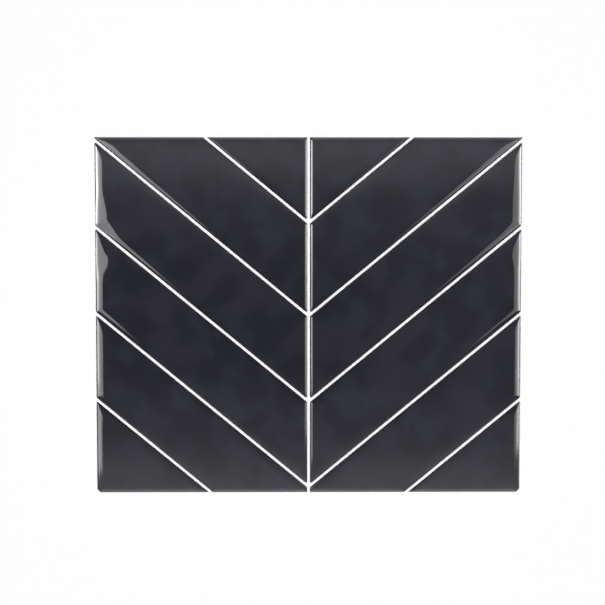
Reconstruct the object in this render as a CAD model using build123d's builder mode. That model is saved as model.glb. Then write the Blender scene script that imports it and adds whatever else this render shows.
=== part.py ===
import os
from math import cos, isclose, radians, sin, tan

from build123d import *

# Peel-and-stick wall panel: a thin white film carries twelve glossy resin tiles in a
# chevron whose Vs point down. The film's back is adhesive, under a release liner.
# The panel lies face up. X is its width, +Y its upper edge on the wall, Z its thickness.
# The origin is under the middle of the panel, on the liner's back.

# Tile field, in millimetres and degrees
field_width = 293.8
field_height = 245.6
chevron_angle = 39.45
course_width = 44.3
end_course_width = 47.8
joint_width = 1.7
centre_joint_width = 1.8
middle_joint_rise = 0.7

# Corners of the tiles, seen from above
sharp_corner_radius = 0.8
blunt_corner_radius = 2.2
centre_corner_radius = 1.0
corner_share_of_side = 0.45

# Section of the poured resin: an upright foot, a tight shoulder and a wide, shallow crown
foot_height = 0.1
shoulder_radius = 0.55
shoulder_turn = 72.0
crown_radius = 18.0

# Sheets under the tiles
film_thickness = 0.25
liner_thickness = 0.12

# Worked out from the sizes above
half_width = field_width / 2
half_height = field_height / 2
side_margin = centre_joint_width / 2
sheet_width = field_width + 2 * side_margin
crown_slope = 90 - shoulder_turn
shoulder_rise = shoulder_radius * sin(radians(shoulder_turn))
crown_rise = crown_radius * (1 - cos(radians(crown_slope)))
tile_thickness = foot_height + shoulder_rise + crown_rise
film_top = liner_thickness + film_thickness
reach = field_width + field_height

# The joints of the left half run down to the right. Each has a distance from the middle
# of the panel, square to the joint. The middle joint crosses its half just above the
# middle, with whole courses beside it and an end course beyond them at each end.
across = Vector(sin(radians(chevron_angle)), cos(radians(chevron_angle)))
middle_joint = Vector(-half_width / 2, 0).dot(across) + middle_joint_rise
course_pitch = course_width + joint_width
end_pitch = end_course_width + joint_width
upper_joints = [course_pitch, course_pitch + end_pitch]
lower_joints = [0, -course_pitch, -2 * course_pitch, -2 * course_pitch - end_pitch]
joint_distances = [middle_joint + step for step in upper_joints + lower_joints]


def is_cut(corner):
    """True where a tile's corner lies on the panel's top or bottom edge."""
    return isclose(abs(corner.Y), half_height, abs_tol=1e-6)


def is_central(corner):
    """True where a tile's corner lies on the joint down the middle."""
    return isclose(corner.X, -centre_joint_width / 2, abs_tol=1e-6)


def corner_radius(corner, outline):
    """Plan radius of one moulded corner, which takes no more than its share of a short side."""
    sides = [edge for edge in outline.edges() if edge.distance_to(corner) < 1e-6]
    arms = [(edge.center() - corner).normalized() for edge in sides]
    half_angle = arms[0].get_angle(arms[1]) / 2
    radius = sharp_corner_radius if half_angle < 45 else blunt_corner_radius
    if is_central(corner):
        radius = centre_corner_radius
    longest_setback = corner_share_of_side * min(edge.length for edge in sides)
    return min(radius, longest_setback * tan(radians(half_angle)))


def resin_tile(outline, label):
    """A domed tile on one outline of the left half."""
    with BuildPart() as tile:
        with BuildSketch(Plane.XY.offset(film_top)) as footprint:
            add(outline)
            moulded = [vertex for vertex in outline.vertices() if not is_cut(vertex)]
            for vertex in moulded:
                corner = Vector(vertex.X, vertex.Y)
                nearest = footprint.vertices().sort_by_distance(corner)[0]
                fillet(nearest, corner_radius(corner, outline))
        extrude(amount=tile_thickness)
        for edge in outline.edges():
            middle = edge @ 0.5
            along = (edge % 0.5).normalized()
            inward = Vector(-along.Y, along.X)
            if inward.dot(outline.center() - middle) < 0:
                inward = -inward
            side = Plane(
                origin=(middle.X, middle.Y, film_top),
                x_dir=inward,
                z_dir=inward.cross(Vector(0, 0, 1)),
            )
            with BuildSketch(side):
                with BuildLine():
                    foot = Line((0, 0), (0, foot_height))
                    shoulder = JernArc(foot @ 1, (0, 1), shoulder_radius, -shoulder_turn)
                    crown = JernArc(shoulder @ 1, shoulder % 1, crown_radius, -crown_slope)
                    Polyline(crown @ 1, (reach, tile_thickness), (reach, 0), (0, 0))
                make_face()
            extrude(amount=reach, both=True, mode=Mode.INTERSECT)
    tile.part.label = label
    return tile.part


# Left half of the tile field, with the joints taken out
with BuildSketch() as left_field:
    with Locations((-centre_joint_width / 2, 0)):
        Rectangle(
            half_width - centre_joint_width / 2, field_height, align=(Align.MAX, Align.CENTER)
        )
    for distance in joint_distances:
        with Locations(across * distance):
            Rectangle(2 * reach, joint_width, rotation=-chevron_angle, mode=Mode.SUBTRACT)

outlines = left_field.sketch.faces().sort_by(Axis.Y, reverse=True)

with BuildPart() as release_liner:
    Box(sheet_width, field_height, liner_thickness, align=(Align.CENTER, Align.CENTER, Align.MIN))
release_liner.part.label = "release_liner"

with BuildPart() as carrier_film:
    with BuildSketch(Plane.XY.offset(liner_thickness)):
        Rectangle(sheet_width, field_height)
    extrude(amount=film_thickness)
carrier_film.part.label = "carrier_film"

pieces = [release_liner.part, carrier_film.part]
for number, outline in enumerate(outlines, start=1):
    left_tile = resin_tile(outline, f"left_tile_{number}")
    with BuildPart() as right_tile:
        mirror(left_tile, about=Plane.YZ)
    right_tile.part.label = f"right_tile_{number}"
    pieces += [left_tile, right_tile.part]

os.makedirs("parts", exist_ok=True)
for piece in pieces:
    export_step(piece, f"parts/{piece.label}.step")
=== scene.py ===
"""Peel-and-stick chevron tile panel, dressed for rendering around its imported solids.

The panel lies face up on a pale floor. X is its width, +Y the edge that is uppermost on the
wall, Z its thickness, in metres. Each resin tile is modelled again as a finer, slightly uneven
dome that stands for its solid. The carrier film and the release liner keep their solids.
"""

import logging
from collections.abc import Callable
from dataclasses import dataclass
from enum import Enum
from math import cos, exp, pi, radians, sin, tan

import bpy
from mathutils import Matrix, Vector


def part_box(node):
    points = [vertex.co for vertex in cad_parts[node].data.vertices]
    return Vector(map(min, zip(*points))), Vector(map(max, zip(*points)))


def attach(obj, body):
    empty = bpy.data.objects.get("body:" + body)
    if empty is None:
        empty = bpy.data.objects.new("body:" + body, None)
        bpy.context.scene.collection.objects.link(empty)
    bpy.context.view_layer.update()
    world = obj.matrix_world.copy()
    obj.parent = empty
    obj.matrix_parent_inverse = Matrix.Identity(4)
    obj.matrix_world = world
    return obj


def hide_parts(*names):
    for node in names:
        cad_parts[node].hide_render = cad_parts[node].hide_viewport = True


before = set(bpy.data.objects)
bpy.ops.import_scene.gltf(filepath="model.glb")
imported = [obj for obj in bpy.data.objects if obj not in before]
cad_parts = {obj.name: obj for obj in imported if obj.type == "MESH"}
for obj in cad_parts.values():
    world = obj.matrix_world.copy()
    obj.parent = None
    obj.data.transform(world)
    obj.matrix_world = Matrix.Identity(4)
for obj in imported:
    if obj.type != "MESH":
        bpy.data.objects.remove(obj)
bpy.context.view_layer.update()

MM = 0.001
BODY = "root"
Colour = tuple[float, float, float, float]
Stops = tuple[tuple[float, float], ...]
log = logging.getLogger("panel")


class Side(Enum):
    """The two halves of the chevron, each named with the sign of its X."""

    LEFT = -1
    RIGHT = 1

    @property
    def word(self) -> str:
        """Lower-case name used in node and piece names."""
        return self.name.lower()


class Value:
    """A shader socket that Python arithmetic turns into Math nodes."""

    def __init__(self, shader: "Shader", socket: bpy.types.NodeSocket | None) -> None:
        """Wrap one output socket of a shader's node, or None where the node has no output."""
        self.shader = shader
        self.socket = socket

    def _math(
        self, operation: str, first: "Value | float", second: "Value | float"
    ) -> "Value":
        """Add a Math node on two numbers or Values, and return its output."""
        return self.shader.node("ShaderNodeMath", {"operation": operation}, {0: first, 1: second})

    def __add__(self, other: "Value | float") -> "Value":
        """Sum of two values."""
        return self._math("ADD", self, other)

    __radd__ = __add__

    def __sub__(self, other: "Value | float") -> "Value":
        """This value less another."""
        return self._math("SUBTRACT", self, other)

    def __rsub__(self, other: "Value | float") -> "Value":
        """Another value less this one."""
        return self._math("SUBTRACT", other, self)

    def __mul__(self, other: "Value | float") -> "Value":
        """Product of two values."""
        return self._math("MULTIPLY", self, other)

    __rmul__ = __mul__

    def beside(self, output: str) -> "Value":
        """Another output of the node that this value comes from."""
        return Value(self.shader, self.socket.node.outputs[output])


class Shader:
    """One node tree, to which a single method adds every node."""

    FIRST_COLOUR = 6
    SECOND_COLOUR = 7
    MIXED_COLOUR = 2

    def __init__(self, tree: bpy.types.NodeTree) -> None:
        """Take over the node tree of a material, a lamp or the world, and clear it."""
        self.tree = tree
        tree.nodes.clear()

    def node(
        self,
        kind: str,
        settings: dict | None = None,
        inputs: dict | None = None,
        output: int | str = 0,
    ) -> Value:
        """Add a node.

        Args:
            kind: The node's type.
            settings: Attributes, set before the sockets. A ramp's stops go in as "stops".
            inputs: Socket name or number to a number, colour or Value.
            output: Name or number of the output to return.

        Returns:
            The chosen output, which is empty for a node that has none.
        """
        made = self.tree.nodes.new(kind)
        for name, setting in (settings or {}).items():
            if name == "stops":
                self._set_stops(made.color_ramp, setting)
            else:
                setattr(made, name, setting)
        for name, given in (inputs or {}).items():
            if isinstance(given, Value):
                self.tree.links.new(given.socket, made.inputs[name])
            else:
                made.inputs[name].default_value = given
        return Value(self, made.outputs[output] if len(made.outputs) else None)

    @staticmethod
    def _set_stops(ramp: bpy.types.ColorRamp, stops: Stops) -> None:
        """Give a new ramp its stops.

        Args:
            ramp: The ramp, with the two stops that it starts with.
            stops: Pairs of place and level, lowest place first.
        """
        while len(ramp.elements) < len(stops):
            ramp.elements.new(1.0)
        for element, (place, level) in zip(ramp.elements, stops):
            element.position = place
            element.color = grey(level)

    def ramp(self, factor: Value, stops: Stops) -> Value:
        """Turn a value into a level along straight steps between its stops."""
        return self.node("ShaderNodeValToRGB", {"stops": stops}, {0: factor})

    def noise(self, place: Value, scale: float, detail: float) -> Value:
        """Smooth noise from 0 to 1, with so many cells to the metre and octaves of finer noise."""
        return self.node(
            "ShaderNodeTexNoise", None, {"Vector": place, "Scale": scale, "Detail": detail}
        )

    def blend(self, factor: Value, first: Value | Colour, second: Value | Colour) -> Value:
        """Mix two colours. The factor is the share of the second."""
        inputs = {"Factor": factor, self.FIRST_COLOUR: first, self.SECOND_COLOUR: second}
        return self.node("ShaderNodeMix", {"data_type": "RGBA"}, inputs, self.MIXED_COLOUR)

    def bump(self, height: Value, strength: float, depth: float) -> Value:
        """Tilt the surface by a height from 0 to 1, for a relief of a real depth in metres."""
        return self.node(
            "ShaderNodeBump", None, {"Strength": strength, "Distance": depth, "Height": height}
        )

    def principled(self, inputs: dict) -> None:
        """Add the surface of a finish, with its sockets' inputs, and the material's output."""
        surface = self.node("ShaderNodeBsdfPrincipled", None, inputs)
        self.node("ShaderNodeOutputMaterial", None, {"Surface": surface})


def grey(level: float) -> Colour:
    """A neutral colour, with full alpha."""
    return (level, level, level, 1.0)


def new_material(name: str) -> tuple[bpy.types.Material, Shader]:
    """Make an empty node material.

    Args:
        name: The material's name.

    Returns:
        The material and its shader.
    """
    material = bpy.data.materials.new(name)
    material.use_nodes = True
    return material, Shader(material.node_tree)


@dataclass(frozen=True)
class ResinFinish:
    """Poured tile resin: near-black, glossy, with faint cool and warm clouds in its colour."""

    plain: Colour = (0.0108, 0.0108, 0.0173, 1.0)
    cool: Colour = (0.0168, 0.0177, 0.0278, 1.0)
    warm: Colour = (0.0190, 0.0170, 0.0256, 1.0)
    cool_scale: float = 46.0
    cool_detail: float = 2.0
    cool_edges: Stops = ((0.42, 0.0), (0.62, 1.0))
    warm_scale: float = 24.0
    warm_detail: float = 1.0
    warm_edges: Stops = ((0.50, 0.0), (0.68, 1.0))
    haze_detail: float = 3.0
    haze: float = 0.03
    roughness: float = 0.045
    refraction: float = 1.56

    def material(self) -> bpy.types.Material:
        """Build the resin's material.

        Returns:
            The material.
        """
        material, shader = new_material("tile_resin")
        place = shader.node("ShaderNodeTexCoord", output="Object")
        cool_clouds = shader.noise(place, self.cool_scale, self.cool_detail)
        warm_clouds = shader.noise(place, self.warm_scale, self.warm_detail)
        cool_share = shader.ramp(cool_clouds, self.cool_edges)
        warm_share = shader.ramp(warm_clouds, self.warm_edges)
        colour = shader.blend(cool_share, self.plain, self.cool)
        haze = shader.noise(place, self.warm_scale, self.haze_detail)
        shader.principled(
            {
                "Base Color": shader.blend(warm_share, colour, self.warm),
                "Roughness": haze * self.haze + self.roughness,
                "IOR": self.refraction,
            }
        )
        return material


@dataclass(frozen=True)
class FilmFinish:
    """Printed carrier film: satin white with a fine pebble grain."""

    bright: Colour = (0.925, 0.925, 0.925, 1.0)
    shade: Colour = (0.88, 0.885, 0.89, 1.0)
    patch_scale: float = 90.0
    grain_scale: float = 2600.0
    grain_depth: float = 0.01 * MM
    grain_strength: float = 0.35
    detail: float = 2.0
    roughness: float = 0.42
    uneven_roughness: float = 0.12

    def material(self) -> bpy.types.Material:
        """Build the film's material.

        Returns:
            The material.
        """
        material, shader = new_material("carrier_film_white")
        place = shader.node("ShaderNodeTexCoord", output="Object")
        patches = shader.noise(place, self.patch_scale, self.detail)
        grain = shader.noise(place, self.grain_scale, self.detail)
        shader.principled(
            {
                "Base Color": shader.blend(patches, self.bright, self.shade),
                "Roughness": grain * self.uneven_roughness + self.roughness,
                "Normal": shader.bump(grain, self.grain_strength, self.grain_depth),
            }
        )
        return material


@dataclass(frozen=True)
class LinerFinish:
    """Release paper: warm white, calendered, with faint fibres and a slight sheen."""

    base: Colour = (0.80, 0.785, 0.74, 1.0)
    fibre: Colour = (0.70, 0.685, 0.63, 1.0)
    fibre_scale: float = 900.0
    fibre_stretch: tuple[float, float, float] = (0.25, 1.0, 1.0)
    fibre_share: float = 0.6
    fibre_edges: Stops = ((0.35, 0.0), (0.75, 1.0))
    fibre_depth: float = 0.03 * MM
    fibre_strength: float = 0.25
    cloud_scale: float = 45.0
    detail: float = 3.0
    roughness: float = 0.38
    uneven_roughness: float = 0.15

    def material(self) -> bpy.types.Material:
        """Build the liner's material.

        Returns:
            The material.
        """
        material, shader = new_material("release_paper")
        place = shader.node("ShaderNodeTexCoord", output="Object")
        stretched = shader.node(
            "ShaderNodeMapping", None, {"Vector": place, "Scale": self.fibre_stretch}
        )
        fibres = shader.noise(stretched, self.fibre_scale, self.detail)
        clouds = shader.noise(place, self.cloud_scale, self.detail)
        mixed = fibres * self.fibre_share + clouds * (1 - self.fibre_share)
        amount = shader.ramp(mixed, self.fibre_edges)
        shader.principled(
            {
                "Base Color": shader.blend(amount, self.base, self.fibre),
                "Roughness": clouds * self.uneven_roughness + self.roughness,
                "Normal": shader.bump(fibres, self.fibre_strength, self.fibre_depth),
            }
        )
        return material


@dataclass
class Chevron:
    """Where the joints run, with the same sizes as the solids."""

    angle: float = radians(39.45)
    course_width: float = 44.3 * MM
    end_course_width: float = 47.8 * MM
    joint_width: float = 1.7 * MM
    middle_joint_rise: float = 0.7 * MM
    half_width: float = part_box("right_tile_4")[1].x
    half_height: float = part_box("carrier_film")[1].y
    centre_gap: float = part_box("right_tile_4")[0].x

    def across(self, side: Side) -> Vector:
        """Unit vector square to a half's joints, pointing up the panel."""
        return Vector((-side.value * sin(self.angle), cos(self.angle), 0))

    def joint_distances(self) -> list[float]:
        """Measure how far each joint's centre line is from the origin, square to the joint.

        Returns:
            The distances in metres, from the top joint down. Each joint has a tile above it.
        """
        middle = self.middle_joint_rise - self.half_width / 2 * sin(self.angle)
        pitch = self.course_width + self.joint_width
        end_pitch = self.end_course_width + self.joint_width
        steps = [pitch + end_pitch, pitch, 0.0, -pitch, -2 * pitch, -2 * pitch - end_pitch]
        return [middle + step for step in steps]


@dataclass
class RimSection:
    """Section of the poured resin, from its foot on the film to the flat of the tile.

    The surface is steepest at the foot. A tight shoulder dies away inwards, as in liquid that
    stands at an edge, and a wide crown levels out evenly over its reach.
    """

    foot: float = 0.08 * MM
    shoulder_rise: float = 0.43 * MM
    shoulder_reach: float = 0.45 * MM
    crown_rise: float = 0.92 * MM
    first_stop: float = 0.06 * MM
    stop_ratio: float = 1.3
    widest_stop: float = 2.5 * MM

    def height(self, depth: float, widening: float, crown_reach: float) -> float:
        """Height of the surface above the foot.

        Args:
            depth: Distance in from the edge, in metres.
            widening: Factor on the shoulder's reach.
            crown_reach: Depth at which the crown is level, in metres.

        Returns:
            The height, in metres.
        """
        shoulder = self.shoulder_rise * (1 - exp(-depth / (self.shoulder_reach * widening)))
        remaining = max(0.0, 1 - depth / crown_reach)
        return shoulder + self.crown_rise * (1 - remaining * remaining)

    def stops(self, last: float) -> list[float]:
        """Depths at which the surface is cut, close together near the edge.

        Args:
            last: The greatest depth, in metres.

        Returns:
            The depths, in metres.
        """
        found = []
        width = self.first_stop
        depth = width
        while depth < last:
            found.append(depth)
            width = min(width * self.stop_ratio, self.widest_stop)
            depth += width
        return found


@dataclass(frozen=True)
class Sag:
    """A place at the panel's outer edge where the resin ran low, so that its crown rises late.

    The crown's reach gains the widening, and the shoulder gains a share of its own width.
    Up and down the edge both die away to nothing over half the sag's length.
    """

    tile: int
    height: float
    half_length: float
    widening: float
    shoulder: float

    def share(self, tile: int, upward: float) -> float:
        """How much of the sag there is beside a place of the edge.

        Args:
            tile: The tile's place from the top.
            upward: Distance up from the panel's middle.

        Returns:
            The share, from 0 to 1, which is 0 on another tile.
        """
        if tile != self.tile:
            return 0.0
        offset = (upward - self.height) / self.half_length
        return max(0.0, 1 - offset * offset)


@dataclass(frozen=True)
class CrownReach:
    """How far in from its edge the crown of a tile levels out, in one half.

    The reach is the same along every joint. It changes towards the joint down the middle
    and towards the panel's outer edge, where each tile has its own and sags add to it.
    """

    centre: float
    outer: tuple[float, ...]
    sags: tuple[Sag, ...]
    field: float = 6.2 * MM
    plateau: float = 7.0 * MM

    def share(self, away: float) -> float:
        """How much of an edge's own reach holds at a distance from it, from 1 down to 0."""
        return max(0.0, min(1.0, 2 - away / self.plateau))

    def at(self, tile: int, from_centre: float, from_side: float, upward: float) -> float:
        """Reach of a tile's crown at a place.

        Args:
            tile: The tile's place from the top.
            from_centre: Distance from the joint down the middle.
            from_side: Distance from the panel's outer edge.
            upward: Distance up from the panel's middle.

        Returns:
            The reach, in metres.
        """
        outer = self.outer[tile - 1] + sum(
            sag.widening * sag.share(tile, upward) for sag in self.sags
        )
        towards_centre = self.share(from_centre) * (self.centre - self.field)
        towards_side = self.share(from_side) * (outer - self.field)
        return self.field + towards_centre + towards_side

    def shoulder(self, tile: int, from_side: float, upward: float) -> float:
        """How much wider the sags make the shoulder at a place, as a share of its own width."""
        widening = sum(sag.shoulder * sag.share(tile, upward) for sag in self.sags)
        return self.share(from_side) * widening


@dataclass(frozen=True)
class Rounding:
    """One rounded corner of a tile, seen from above."""

    corner: Vector
    half_angle: float
    radius: float
    centre: Vector
    arms: tuple[Vector, Vector]

    @property
    def setback(self) -> float:
        """Distance from the corner at which the rounding starts."""
        return self.radius / tan(self.half_angle)

    def holds(self, place: Vector) -> bool:
        """Whether a place lies between the rounding's centre and its arc."""
        offset = place - self.centre
        return offset.dot(self.arms[0]) > 0 and offset.dot(self.arms[1]) > 0

    def depth(self, place: Vector) -> float:
        """Distance in from the arc."""
        return self.radius - (place - self.centre).length


@dataclass(frozen=True)
class TileOutline:
    """Outline of one tile, seen from above: its edges and its rounded corners."""

    edges: tuple[tuple[Vector, Vector], ...]
    roundings: tuple[Rounding, ...]

    def depth(self, place: Vector) -> float:
        """Distance in from the outline.

        Args:
            place: A point in the outline's plane.

        Returns:
            The distance, in metres, and never less than 0.
        """
        for rounding in self.roundings:
            if rounding.holds(place):
                return max(0.0, rounding.depth(place))
        return max(0.0, min((place - point).dot(inward) for point, inward in self.edges))


@dataclass(frozen=True)
class Ripple:
    """Unevenness of the cured resin's surface."""

    height: float = 0.08 * MM
    length: float = 17.0 * MM


def select_only(piece: bpy.types.Object) -> None:
    """Deselect everything, then make one piece the active and only selection.

    Args:
        piece: The piece to select.
    """
    if bpy.context.object and bpy.context.object.mode != "OBJECT":
        bpy.ops.object.mode_set(mode="OBJECT")
    bpy.ops.object.select_all(action="DESELECT")
    piece.select_set(True)
    bpy.context.view_layer.objects.active = piece


def select_vertices(
    piece: bpy.types.Object, wanted: Callable[[bpy.types.MeshVertex], bool]
) -> None:
    """Select those vertices of a piece that pass a test.

    Args:
        piece: The piece, in edit mode.
        wanted: Function from a vertex to True where it is wanted.
    """
    bpy.ops.mesh.select_mode(type="VERT")
    bpy.ops.mesh.select_all(action="DESELECT")
    bpy.ops.object.mode_set(mode="OBJECT")
    for vertex in piece.data.vertices:
        vertex.select = wanted(vertex)
    bpy.ops.object.mode_set(mode="EDIT")


@dataclass
class TileHalf:
    """The six domed tiles of one half of the chevron."""

    side: Side
    layout: Chevron
    section: RimSection
    crown: CrownReach
    ripple: Ripple
    finish: bpy.types.Material
    centre_widening: float
    centre_fade: float = 5.0 * MM
    sharp_corner: float = 0.8 * MM
    blunt_corner: float = 2.2 * MM
    centre_corner: float = 1.0 * MM
    corner_share: float = 0.45
    corner_segments: int = 5
    smooth_angle: float = radians(50)
    same_place: float = 0.001 * MM
    cut_threshold: float = 0.0001 * MM
    base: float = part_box("carrier_film")[1].z

    def build(self) -> list[bpy.types.Object]:
        """Model every tile of this half, from the top down, and return them."""
        count = len(self.layout.joint_distances())
        return [self.tile(number) for number in range(1, count + 1)]

    def tile(self, number: int) -> bpy.types.Object:
        """Model one tile.

        Args:
            number: Its place from the top, counted from 1.

        Returns:
            The finished tile, riding on the panel and standing for its solid.
        """
        node = f"{self.side.word}_tile_{number}"
        piece = self.flat_tile(number)
        piece.name = f"{self.side.word}_dome_{number}"
        outline = self.measure(piece)
        self.round_corners(piece, outline)
        self.raise_foot()
        self.cut_rings(piece, outline)
        bpy.ops.object.mode_set(mode="OBJECT")
        self.lift_dome(piece, number, outline)
        self.add_ripple(piece, outline)
        bpy.ops.object.shade_smooth_by_angle(angle=self.smooth_angle)
        piece.data.materials.clear()
        piece.data.materials.append(self.finish)
        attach(piece, BODY)
        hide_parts(node)
        log.info("%s: %d faces", piece.name, len(piece.data.polygons))
        return piece

    def flat_tile(self, number: int) -> bpy.types.Object:
        """Cut one tile's outline from a plane that covers the half field.

        Args:
            number: The tile's place from the top.

        Returns:
            The plane, in edit mode, as one flat face with sharp corners.
        """
        layout = self.layout
        width = layout.half_width - layout.centre_gap
        centre = Vector((self.side.value * (layout.centre_gap + width / 2), 0, self.base))
        select_only(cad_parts["carrier_film"])
        bpy.ops.mesh.primitive_plane_add(size=1, location=centre)
        piece = bpy.context.object
        bpy.ops.object.mode_set(mode="EDIT")
        bpy.ops.transform.resize(value=(width, 2 * layout.half_height, 1), center_override=centre)
        bpy.ops.object.mode_set(mode="OBJECT")
        bpy.ops.object.transform_apply(location=True, rotation=False, scale=False)
        bpy.ops.object.mode_set(mode="EDIT")
        across = layout.across(self.side)
        joints = layout.joint_distances()
        if number > 1:
            edge = across * (joints[number - 2] - layout.joint_width / 2)
            self.bisect(edge, across, clear=True)
        edge = across * (joints[number - 1] + layout.joint_width / 2)
        self.bisect(edge, -across, clear=True)
        return piece

    def bisect(self, place: Vector, normal: Vector, clear: bool) -> None:
        """Cut all that shows with a plane. Clear takes away what lies on its normal's side."""
        bpy.ops.mesh.select_all(action="SELECT")
        bpy.ops.mesh.bisect(
            plane_co=place, plane_no=normal, clear_outer=clear, threshold=self.cut_threshold
        )

    def corner_radius(self, corner: Vector, half_angle: float, side: float) -> float:
        """Radius of a corner seen from above. Those on the panel's top and bottom are sharp.

        Args:
            corner: The corner's place.
            half_angle: Half of its angle.
            side: Length of its shorter side.

        Returns:
            The radius, in metres, or 0.
        """
        if abs(abs(corner.y) - self.layout.half_height) < self.same_place:
            return 0.0
        radius = self.blunt_corner if half_angle > pi / 4 else self.sharp_corner
        if abs(abs(corner.x) - self.layout.centre_gap) < self.same_place:
            radius = self.centre_corner
        return min(radius, self.corner_share * side * tan(half_angle))

    def measure(self, piece: bpy.types.Object) -> TileOutline:
        """Read the edges and corners of the flat tile.

        Args:
            piece: The flat tile, in edit mode.

        Returns:
            Its outline, with the roundings that its corners are to get.
        """
        bpy.ops.object.mode_set(mode="OBJECT")
        places = [vertex.co.copy() for vertex in piece.data.vertices]
        ring = [places[index] for index in piece.data.polygons[0].vertices]
        bpy.ops.object.mode_set(mode="EDIT")
        middle = sum(ring, Vector()) / len(ring)
        edges = []
        roundings = []
        for index, corner in enumerate(ring):
            following = ring[(index + 1) % len(ring)]
            inward = (following - corner).cross(Vector((0, 0, 1))).normalized()
            if inward.dot(middle - corner) < 0:
                inward.negate()
            edges.append((corner, inward))
            back = ring[index - 1] - corner
            ahead = following - corner
            shorter = min(back.length, ahead.length)
            back.normalize()
            ahead.normalize()
            half_angle = back.angle(ahead) / 2
            radius = self.corner_radius(corner, half_angle, shorter)
            if radius > 0:
                centre = corner + (back + ahead).normalized() * radius / sin(half_angle)
                roundings.append(Rounding(corner, half_angle, radius, centre, (-back, -ahead)))
        return TileOutline(tuple(edges), tuple(roundings))

    def round_corners(self, piece: bpy.types.Object, outline: TileOutline) -> None:
        """Round the moulded corners.

        Args:
            piece: The flat tile, in edit mode.
            outline: Its outline.
        """
        for rounding in outline.roundings:
            corner = rounding.corner
            select_vertices(piece, lambda vertex: (vertex.co - corner).length < self.same_place)
            bpy.ops.mesh.bevel(
                offset=rounding.setback, segments=self.corner_segments, affect="VERTICES"
            )

    def raise_foot(self) -> None:
        """Extrude the flat tile by its foot, and hide all but the face that it raises."""
        bpy.ops.mesh.select_mode(type="FACE")
        bpy.ops.mesh.select_all(action="SELECT")
        upward = (0, 0, self.section.foot)
        bpy.ops.mesh.extrude_region_move(TRANSFORM_OT_translate={"value": upward})
        bpy.ops.mesh.hide(unselected=True)

    def cut_rings(self, piece: bpy.types.Object, outline: TileOutline) -> None:
        """Cut the raised face along lines parallel to each edge, and show the rest again.

        Args:
            piece: The tile, in edit mode, with only its raised face showing. Not used.
            outline: Its outline.
        """
        for point, inward in outline.edges:
            span = max((corner - point).dot(inward) for corner, _ in outline.edges)
            for depth in self.section.stops(span / 2):
                self.bisect(point + inward * depth, inward, clear=False)
        bpy.ops.mesh.reveal(select=False)

    def displace(
        self,
        piece: bpy.types.Object,
        name: str,
        amount: float,
        share: Callable[[Vector], float],
        texture: bpy.types.Texture | None = None,
    ) -> None:
        """Move the surface up or down by a share of an amount.

        Args:
            piece: The tile, in object mode.
            name: Name of the vertex group and of the modifier.
            amount: Greatest movement upwards, in metres.
            share: Function from a vertex's place to its share, from 0 to 1.
            texture: Texture that makes the movement uneven, both up and down, or None.
        """
        group = piece.vertex_groups.new(name=name)
        for vertex in piece.data.vertices:
            group.add([vertex.index], share(vertex.co), "REPLACE")
        modifier = piece.modifiers.new(name, "DISPLACE")
        modifier.direction = "Z"
        modifier.vertex_group = name
        modifier.strength = amount
        modifier.mid_level = 0.0
        if texture:
            modifier.mid_level = 0.5
            modifier.texture = texture
            modifier.texture_coords = "LOCAL"
        select_only(piece)
        bpy.ops.object.modifier_apply(modifier=name)
        piece.vertex_groups.clear()

    def surface_share(self, place: Vector, outline: TileOutline) -> float:
        """How freely a place can move: not at all at the foot, wholly past the shoulder."""
        return 1 - exp(-outline.depth(place) / self.section.shoulder_reach)

    def lift_dome(self, piece: bpy.types.Object, number: int, outline: TileOutline) -> None:
        """Raise the surface of a tile, in object mode, along the rim's section."""
        whole = self.section.shoulder_rise + self.section.crown_rise
        self.displace(
            piece, "dome", whole, lambda place: self.dome_height(place, number, outline) / whole
        )

    def dome_height(self, place: Vector, number: int, outline: TileOutline) -> float:
        """Height of the dome above its foot.

        The shoulder is wider towards the joint down the middle, and where the resin sags.

        Args:
            place: A point of the tile.
            number: The tile's place from the top.
            outline: The tile's outline.

        Returns:
            The height, in metres.
        """
        from_centre = abs(place.x) - self.layout.centre_gap
        from_side = self.layout.half_width - abs(place.x)
        widening = 1 + self.centre_widening * exp(-from_centre / self.centre_fade)
        widening += self.crown.shoulder(number, from_side, place.y)
        crown_reach = self.crown.at(number, from_centre, from_side, place.y)
        return self.section.height(outline.depth(place), widening, crown_reach)

    def add_ripple(self, piece: bpy.types.Object, outline: TileOutline) -> None:
        """Make the surface slightly uneven.

        Args:
            piece: The tile, in object mode.
            outline: Its outline.
        """
        texture = bpy.data.textures.new("resin_ripple", "CLOUDS")
        texture.noise_scale = self.ripple.length
        texture.noise_depth = 0
        self.displace(
            piece,
            "ripple",
            self.ripple.height,
            lambda place: self.surface_share(place, outline),
            texture,
        )


@dataclass
class Backing:
    """The carrier film and the release liner, which keep their solids."""

    film: bpy.types.Material
    liner: bpy.types.Material

    def dress(self) -> None:
        """Give both sheets their finish."""
        for node, material in (("carrier_film", self.film), ("release_liner", self.liner)):
            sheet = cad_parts[node]
            sheet.data.materials.clear()
            sheet.data.materials.append(material)
            log.info("%s dressed with %s", node, material.name)


class LampUse(Enum):
    """What sees a lamp: only reflections, or only matt surfaces. The camera sees none."""

    REFLECTIONS = "reflections"
    FILL = "fill"


@dataclass(frozen=True)
class Fade:
    """How a lamp's light varies over its face.

    Each list holds pairs of a place from 0 to 1 and a number. Places across the lamp start at
    its inner edge, or at the top of a lamp that stands up. Places along it start at its lower
    end, towards -Y. The first two lists give levels. The third gives how far up the lamp its
    lower end is cut off, by the place across it.
    """

    across: Stops = ((0.0, 1.0), (1.0, 1.0))
    along: Stops = ((0.0, 1.0), (1.0, 1.0))
    lower_end: Stops = ((0.0, 0.0), (1.0, 0.0))
    softness: float = 0.04


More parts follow.
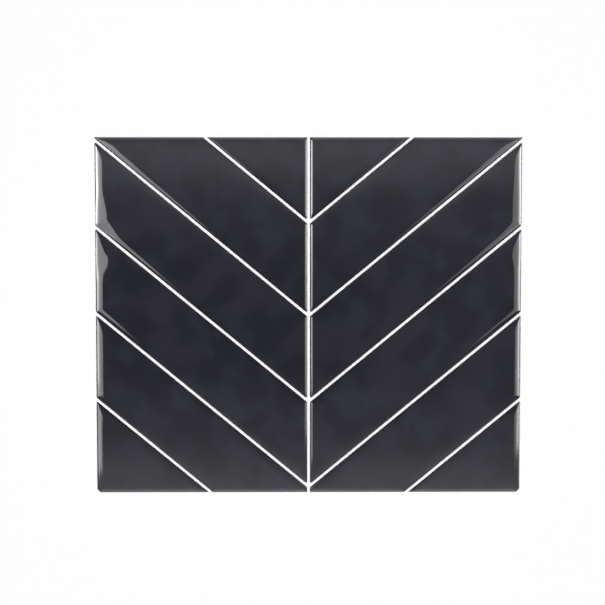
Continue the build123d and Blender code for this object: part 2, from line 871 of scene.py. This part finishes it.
@dataclass(frozen=True)
class Lamp:
    """One rectangular studio lamp, which faces straight down unless it is turned about Y.

    Its light goes no further to the sides than the spread, which is a full angle.
    """

    name: str
    place: tuple[float, float, float]
    size: tuple[float, float]
    radiance: float
    fade: Fade | None = None
    spread: float = pi
    turn: float = 0.0
    use: LampUse = LampUse.REFLECTIONS

    def build(self) -> None:
        """Hang the lamp."""
        data = bpy.data.lights.new(self.name, "AREA")
        data.shape = "RECTANGLE"
        data.size, data.size_y = self.size
        data.spread = self.spread
        data.energy = self.radiance * self.size[0] * self.size[1] * pi
        if self.fade:
            data.use_nodes = True
            self.shade(Shader(data.node_tree), self.fade)
        lamp = bpy.data.objects.new(self.name, data)
        lamp.location = self.place
        lamp.rotation_euler = (0, self.turn, 0)
        lamp.visible_camera = False
        lamp.visible_diffuse = self.use is LampUse.FILL
        lamp.visible_glossy = self.use is LampUse.REFLECTIONS
        bpy.context.scene.collection.objects.link(lamp)
        log.info("%s hung", self.name)

    def shade(self, shader: Shader, fade: Fade) -> None:
        """Let the light vary over the lamp's face.

        Args:
            shader: The lamp's shader.
            fade: How it varies.
        """
        place = shader.node("ShaderNodeNewGeometry", output="Parametric")
        east = shader.node("ShaderNodeSeparateXYZ", None, {0: place}, output="X")
        upward = east.beside("Y")
        outward = 1 - east if self.place[0] < 0 else east
        above_end = upward - shader.ramp(outward, fade.lower_end)
        lit = shader.ramp(above_end, ((0.0, 0.0), (fade.softness, 1.0)))
        level = shader.ramp(outward, fade.across) * shader.ramp(upward, fade.along) * lit
        glow = shader.node("ShaderNodeEmission", None, {"Color": level})
        shader.node("ShaderNodeOutputLight", None, {"Surface": glow})


@dataclass(frozen=True)
class SideLamps:
    """Lamps of one side: a softbox, a hotter core over it, and a low lamp further out."""

    side: Side
    box_radiance: float
    box_fade: Fade
    core_fade: Fade
    low_radiance: float


@dataclass(frozen=True)
class Kicker:
    """A smaller lamp below the softboxes, which brightens one stretch of the rims."""

    name: str
    centre: tuple[float, float]
    size: tuple[float, float]
    radiance: float
    fade: Fade
    drop: float = 0.01


# Lower ends of the softboxes and their cores, which reach further down at the inner edge
LEFT_END = ((0.0, 0.10), (0.03, 0.11), (0.06, 0.14), (0.1, 0.16), (1.0, 0.16))
RIGHT_END = ((0.0, 0.0), (0.047, 0.01), (0.083, 0.085), (0.126, 0.16), (1.0, 0.16))

# The softboxes are brighter further out, where their spread lets less light reach the panel
OUTWARD_GAIN = ((0.0, 0.95), (0.1, 1.07), (0.2, 1.27), (0.31, 1.56), (0.41, 1.9), (0.5, 2.4))

SIDE_LAMPS = (
    SideLamps(
        side=Side.LEFT,
        box_radiance=1.9,
        box_fade=Fade(
            across=OUTWARD_GAIN,
            along=((0.3, 0.82), (0.6, 1.0)),
            lower_end=LEFT_END,
        ),
        core_fade=Fade(
            across=(
                (0.0, 0.0), (0.06, 0.015), (0.096, 0.032), (0.134, 0.083), (0.184, 0.29),
                (0.277, 0.7), (0.35, 0.9), (0.42, 0.75), (0.55, 0.45), (1.0, 0.3),
            ),
            along=(
                (0.0, 0.6), (0.2, 0.6), (0.35, 0.5), (0.54, 0.6), (0.62, 0.85), (0.72, 1.35),
                (0.8, 1.35), (1.0, 1.3),
            ),
            lower_end=LEFT_END,
        ),
        low_radiance=5.0,
    ),
    SideLamps(
        side=Side.RIGHT,
        box_radiance=1.0,
        box_fade=Fade(
            across=OUTWARD_GAIN,
            along=((0.07, 0.85), (0.35, 0.9), (0.6, 1.0)),
            lower_end=RIGHT_END,
        ),
        core_fade=Fade(
            across=(
                (0.06, 0.0), (0.096, 0.011), (0.134, 0.033), (0.184, 0.137), (0.277, 0.55),
                (0.35, 0.87), (0.41, 1.05), (0.5, 1.35),
            ),
            along=((0.0, 0.5), (0.3, 0.55), (0.5, 0.68), (0.62, 0.97), (0.79, 1.0)),
            lower_end=RIGHT_END,
        ),
        low_radiance=26.0,
    ),
)

KICKERS = (
    Kicker(
        name="kicker_left",
        centre=(-0.71, -0.205),
        size=(0.80, 0.15),
        radiance=6.5,
        fade=Fade(
            across=((0.0, 0.19), (0.09, 0.32), (0.175, 0.5), (0.26, 0.65), (0.44, 0.8), (0.6, 0.9)),
            lower_end=((0.0, 0.42), (0.2, 0.4), (0.26, 0.27), (0.425, 0.2), (0.86, 0.07)),
            softness=0.05,
        ),
    ),
    Kicker(
        name="kicker_right",
        centre=(0.83, -0.19),
        size=(0.94, 0.12),
        radiance=13.0,
        fade=Fade(
            across=((0.0, 0.05), (0.043, 0.1), (0.096, 0.2), (0.2, 0.38), (0.32, 0.68), (0.5, 1.3)),
            lower_end=((0.0, 0.3), (0.2, 0.3), (0.47, 0.0), (1.0, 0.0)),
            softness=0.2,
        ),
    ),
    Kicker(
        name="kicker_far",
        centre=(1.0, -0.09),
        size=(0.56, 0.16),
        radiance=9.0,
        fade=Fade(across=((0.0, 0.2), (0.4, 1.0)), along=((0.0, 1.0), (0.6, 1.0), (1.0, 0.2))),
        drop=0.02,
    ),
    Kicker(
        name="kicker_inner",
        centre=(0.40, -0.105),
        size=(0.08, 0.11),
        radiance=1.0,
        fade=Fade(across=((0.0, 0.2), (0.5, 1.0))),
    ),
)

# Level of the scrim from its lower end to its upper end. The flat faces mirror its middle.
SCRIM_TONES = (
    (0.0, 0.3), (0.30, 0.9), (0.36, 0.95), (0.368, 0.92), (0.402, 0.43), (0.411, 0.35),
    (0.421, 0.315), (0.43, 0.297), (0.449, 0.175), (0.459, 0.145), (0.48, 0.13), (0.53, 0.135),
    (0.544, 0.166), (0.553, 0.21), (0.572, 0.257), (0.582, 0.31), (0.59, 0.40), (0.60, 0.583),
    (0.609, 0.70), (0.619, 0.78), (0.63, 0.75), (0.65, 0.5), (1.0, 0.3),
)

# A patch that is bright in its middle and dies away all round
PATCH_TONES = ((0.0, 0.0), (0.35, 1.0), (0.65, 1.0), (1.0, 0.0))

# Level of the surroundings from far down the wall to far up it: dark overhead
SKY_TONES = (
    (0.0, 1.3), (0.17, 1.3), (0.22, 0.5), (0.26, 0.03), (0.73, 0.03), (0.78, 0.5), (0.83, 1.3),
)

# Share of that level from straight up and down the wall out to the sides
SKY_WIDTH = ((0.22, 1.0), (0.36, 0.04))


@dataclass
class LightRig:
    """All lamps of the studio. Reflections alone see them, apart from one even fill."""

    box_height: float = 0.53
    box_inner: float = 0.293
    box_size: tuple[float, float] = (1.0, 0.41)
    box_spread: float = radians(120.6)
    core_rise: float = 0.01
    core_radiance: float = 18.0
    low_distance: float = 1.6
    low_size: tuple[float, float] = (0.26, 0.84)
    low_gap: float = 0.01
    low_fade: Fade = Fade(across=((0.0, 0.2), (0.35, 1.0)))
    scrim_height: float = 0.05
    scrim_size: tuple[float, float] = (1.0, 1.0)
    scrim_radiance: float = 1.0
    patch_offset: float = 0.095
    patch_rise: float = 0.01
    patch_size: tuple[float, float] = (0.17, 0.2)
    patch_radiance: float = 0.08
    fill_height: float = 1.6
    fill_size: tuple[float, float] = (1.6, 1.6)
    fill_radiance: float = 3.6

    def build(self) -> None:
        """Hang every lamp."""
        for lamps in SIDE_LAMPS:
            self.hang_softbox(lamps)
        for lamps in SIDE_LAMPS:
            self.stand_low_lamp(lamps)
        for kicker in KICKERS:
            self.hang_kicker(kicker)
        self.hang_scrim()
        self.hang_fill()

    def hang_softbox(self, lamps: SideLamps) -> None:
        """Hang a softbox beside the panel, with its hotter core just above it.

        Args:
            lamps: The settings of its side.
        """
        word = lamps.side.word
        centre = lamps.side.value * (self.box_inner + self.box_size[0] / 2)
        place = (centre, 0.0, self.box_height)
        above = (centre, 0.0, self.box_height + self.core_rise)
        softbox = Lamp(
            f"softbox_{word}", place, self.box_size, lamps.box_radiance, lamps.box_fade, self.box_spread
        )
        core = Lamp(
            f"core_{word}", above, self.box_size, self.core_radiance, lamps.core_fade, self.box_spread
        )
        softbox.build()
        core.build()

    def stand_low_lamp(self, lamps: SideLamps) -> None:
        """Stand a low lamp far out at one side, dimmer at its top, and facing the panel.

        Args:
            lamps: The settings of its side.
        """
        place = (lamps.side.value * self.low_distance, 0.0, self.low_size[0] / 2 + self.low_gap)
        turn = lamps.side.value * pi / 2
        name = f"low_{lamps.side.word}"
        Lamp(name, place, self.low_size, lamps.low_radiance, self.low_fade, turn=turn).build()

    def hang_kicker(self, kicker: Kicker) -> None:
        """Hang one kicker below the height of the softboxes."""
        place = (*kicker.centre, self.box_height - kicker.drop)
        Lamp(
            kicker.name, place, kicker.size, kicker.radiance, kicker.fade, self.box_spread
        ).build()

    def hang_scrim(self) -> None:
        """Hang a low glowing scrim, which tones the tiles' faces, and a faint patch at its right."""
        place = (0.0, 0.0, self.scrim_height)
        Lamp("scrim", place, self.scrim_size, self.scrim_radiance, Fade(along=SCRIM_TONES)).build()
        place = (self.patch_offset, 0.0, self.scrim_height + self.patch_rise)
        fade = Fade(across=PATCH_TONES, along=PATCH_TONES)
        Lamp("scrim_patch", place, self.patch_size, self.patch_radiance, fade).build()

    def hang_fill(self) -> None:
        """Hang the even fill that lights the matt film and the floor."""
        place = (0.0, 0.0, self.fill_height)
        Lamp("fill", place, self.fill_size, self.fill_radiance, use=LampUse.FILL).build()


@dataclass
class Studio:
    """Pale floor, lamps, dim surroundings and the camera."""

    floor_size: float = 6.0
    floor_level: float = 0.92
    floor_glow: float = 0.7
    camera_place: tuple[float, float, float] = (-0.0098, 0.0490, 0.8284)
    camera_tilt: float = radians(-2.747)
    camera_pan: float = radians(-0.386)
    focal_length: float = 71.4
    sensor: float = 36.0
    nearest_seen: float = 0.01

    def build(self) -> None:
        """Set up everything that isn't part of the object."""
        self.add_camera()
        self.add_floor()
        LightRig().build()
        self.add_world()
        bpy.context.scene.view_settings.view_transform = "Standard"

    def add_camera(self) -> None:
        """Place the camera above the panel, as in the photograph."""
        data = bpy.data.cameras.new("camera")
        data.lens = self.focal_length
        data.sensor_width = self.sensor
        data.clip_start = self.nearest_seen
        camera = bpy.data.objects.new("camera", data)
        camera.location = self.camera_place
        camera.rotation_euler = (self.camera_tilt, self.camera_pan, 0)
        bpy.context.scene.collection.objects.link(camera)
        bpy.context.scene.camera = camera
        log.info("camera %.1f mm above the floor", camera.location.z / MM)

    def add_floor(self) -> None:
        """Lay a plain white floor under the panel. It keeps part of the panel's shadow."""
        select_only(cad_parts["carrier_film"])
        bpy.ops.mesh.primitive_plane_add(size=self.floor_size, location=(0, 0, 0))
        floor = bpy.context.object
        floor.name = "floor"
        material, shader = new_material("floor_white")
        paint = shader.node("ShaderNodeBsdfDiffuse", None, {"Color": grey(self.floor_level)})
        glow = shader.node("ShaderNodeEmission", None, {"Color": grey(1.0), "Strength": 1.0})
        seen = shader.node("ShaderNodeLightPath", output="Is Camera Ray")
        shown = (seen + seen.beside("Is Glossy Ray")) * self.floor_glow
        both = shader.node("ShaderNodeMixShader", None, {0: shown, 1: paint, 2: glow})
        shader.node("ShaderNodeOutputMaterial", None, {"Surface": both})
        floor.data.materials.append(material)

    def add_world(self) -> None:
        """Surround the panel with light that is dark overhead and bright far up and down the wall."""
        world = bpy.data.worlds.new("studio")
        world.use_nodes = True
        bpy.context.scene.world = world
        shader = Shader(world.node_tree)
        seen = shader.node("ShaderNodeLightPath", output="Is Camera Ray")
        direction = shader.node("ShaderNodeTexCoord", output="Generated")
        east = shader.node("ShaderNodeSeparateXYZ", None, {0: direction}, output="X")
        upward = east.beside("Y") * 0.5 + 0.5
        sideways = shader.node("ShaderNodeMath", {"operation": "ABSOLUTE"}, {0: east})
        level = shader.ramp(upward, SKY_TONES) * shader.ramp(sideways, SKY_WIDTH)
        dim = shader.node("ShaderNodeBackground", None, {"Color": level, "Strength": 1.0})
        white = shader.node("ShaderNodeBackground", None, {"Color": grey(1.0), "Strength": 1.0})
        both = shader.node("ShaderNodeMixShader", None, {0: seen, 1: dim, 2: white})
        shader.node("ShaderNodeOutputWorld", None, {"Surface": both})


# Where the resin ran low, tile by tile. Heights are counted up from the panel's middle.
SAGS = {
    Side.LEFT: (
        Sag(tile=3, height=61 * MM, half_length=25 * MM, widening=7.8 * MM, shoulder=0.7),
        Sag(tile=3, height=74 * MM, half_length=22 * MM, widening=0.0, shoulder=0.8),
        Sag(tile=4, height=42 * MM, half_length=15.5 * MM, widening=12.0 * MM, shoulder=0.9),
    ),
    Side.RIGHT: (
        Sag(tile=3, height=74 * MM, half_length=25 * MM, widening=2.4 * MM, shoulder=0.15),
        Sag(tile=4, height=45 * MM, half_length=14 * MM, widening=2.8 * MM, shoulder=0.15),
    ),
}

# How much wider the shoulder is at the joint down the middle, as a share of its own width
CENTRE_WIDENING = {Side.LEFT: 1.2, Side.RIGHT: 1.1}

# Reach of the crown at the joint down the middle, and at the outer edge from the top tile down
CROWN_REACHES = {
    Side.LEFT: CrownReach(
        centre=7.5 * MM,
        outer=tuple(reach * MM for reach in (6.2, 6.2, 6.6, 6.2, 6.0, 5.2)),
        sags=SAGS[Side.LEFT],
    ),
    Side.RIGHT: CrownReach(
        centre=4.4 * MM,
        outer=tuple(reach * MM for reach in (5.3, 5.3, 5.9, 5.8, 4.6, 4.6)),
        sags=SAGS[Side.RIGHT],
    ),
}


def main() -> None:
    """Build the studio, then the panel from the back to the front."""
    logging.basicConfig(level=logging.INFO, format="%(name)s: %(message)s")
    Studio().build()
    Backing(film=FilmFinish().material(), liner=LinerFinish().material()).dress()
    resin = ResinFinish().material()
    layout = Chevron()
    for side in Side:
        crown = CROWN_REACHES[side]
        widening = CENTRE_WIDENING[side]
        tiles = TileHalf(side, layout, RimSection(), crown, Ripple(), resin, widening).build()
        log.info("%s half: %d tiles", side.word, len(tiles))


if __name__ == "__main__":
    main()
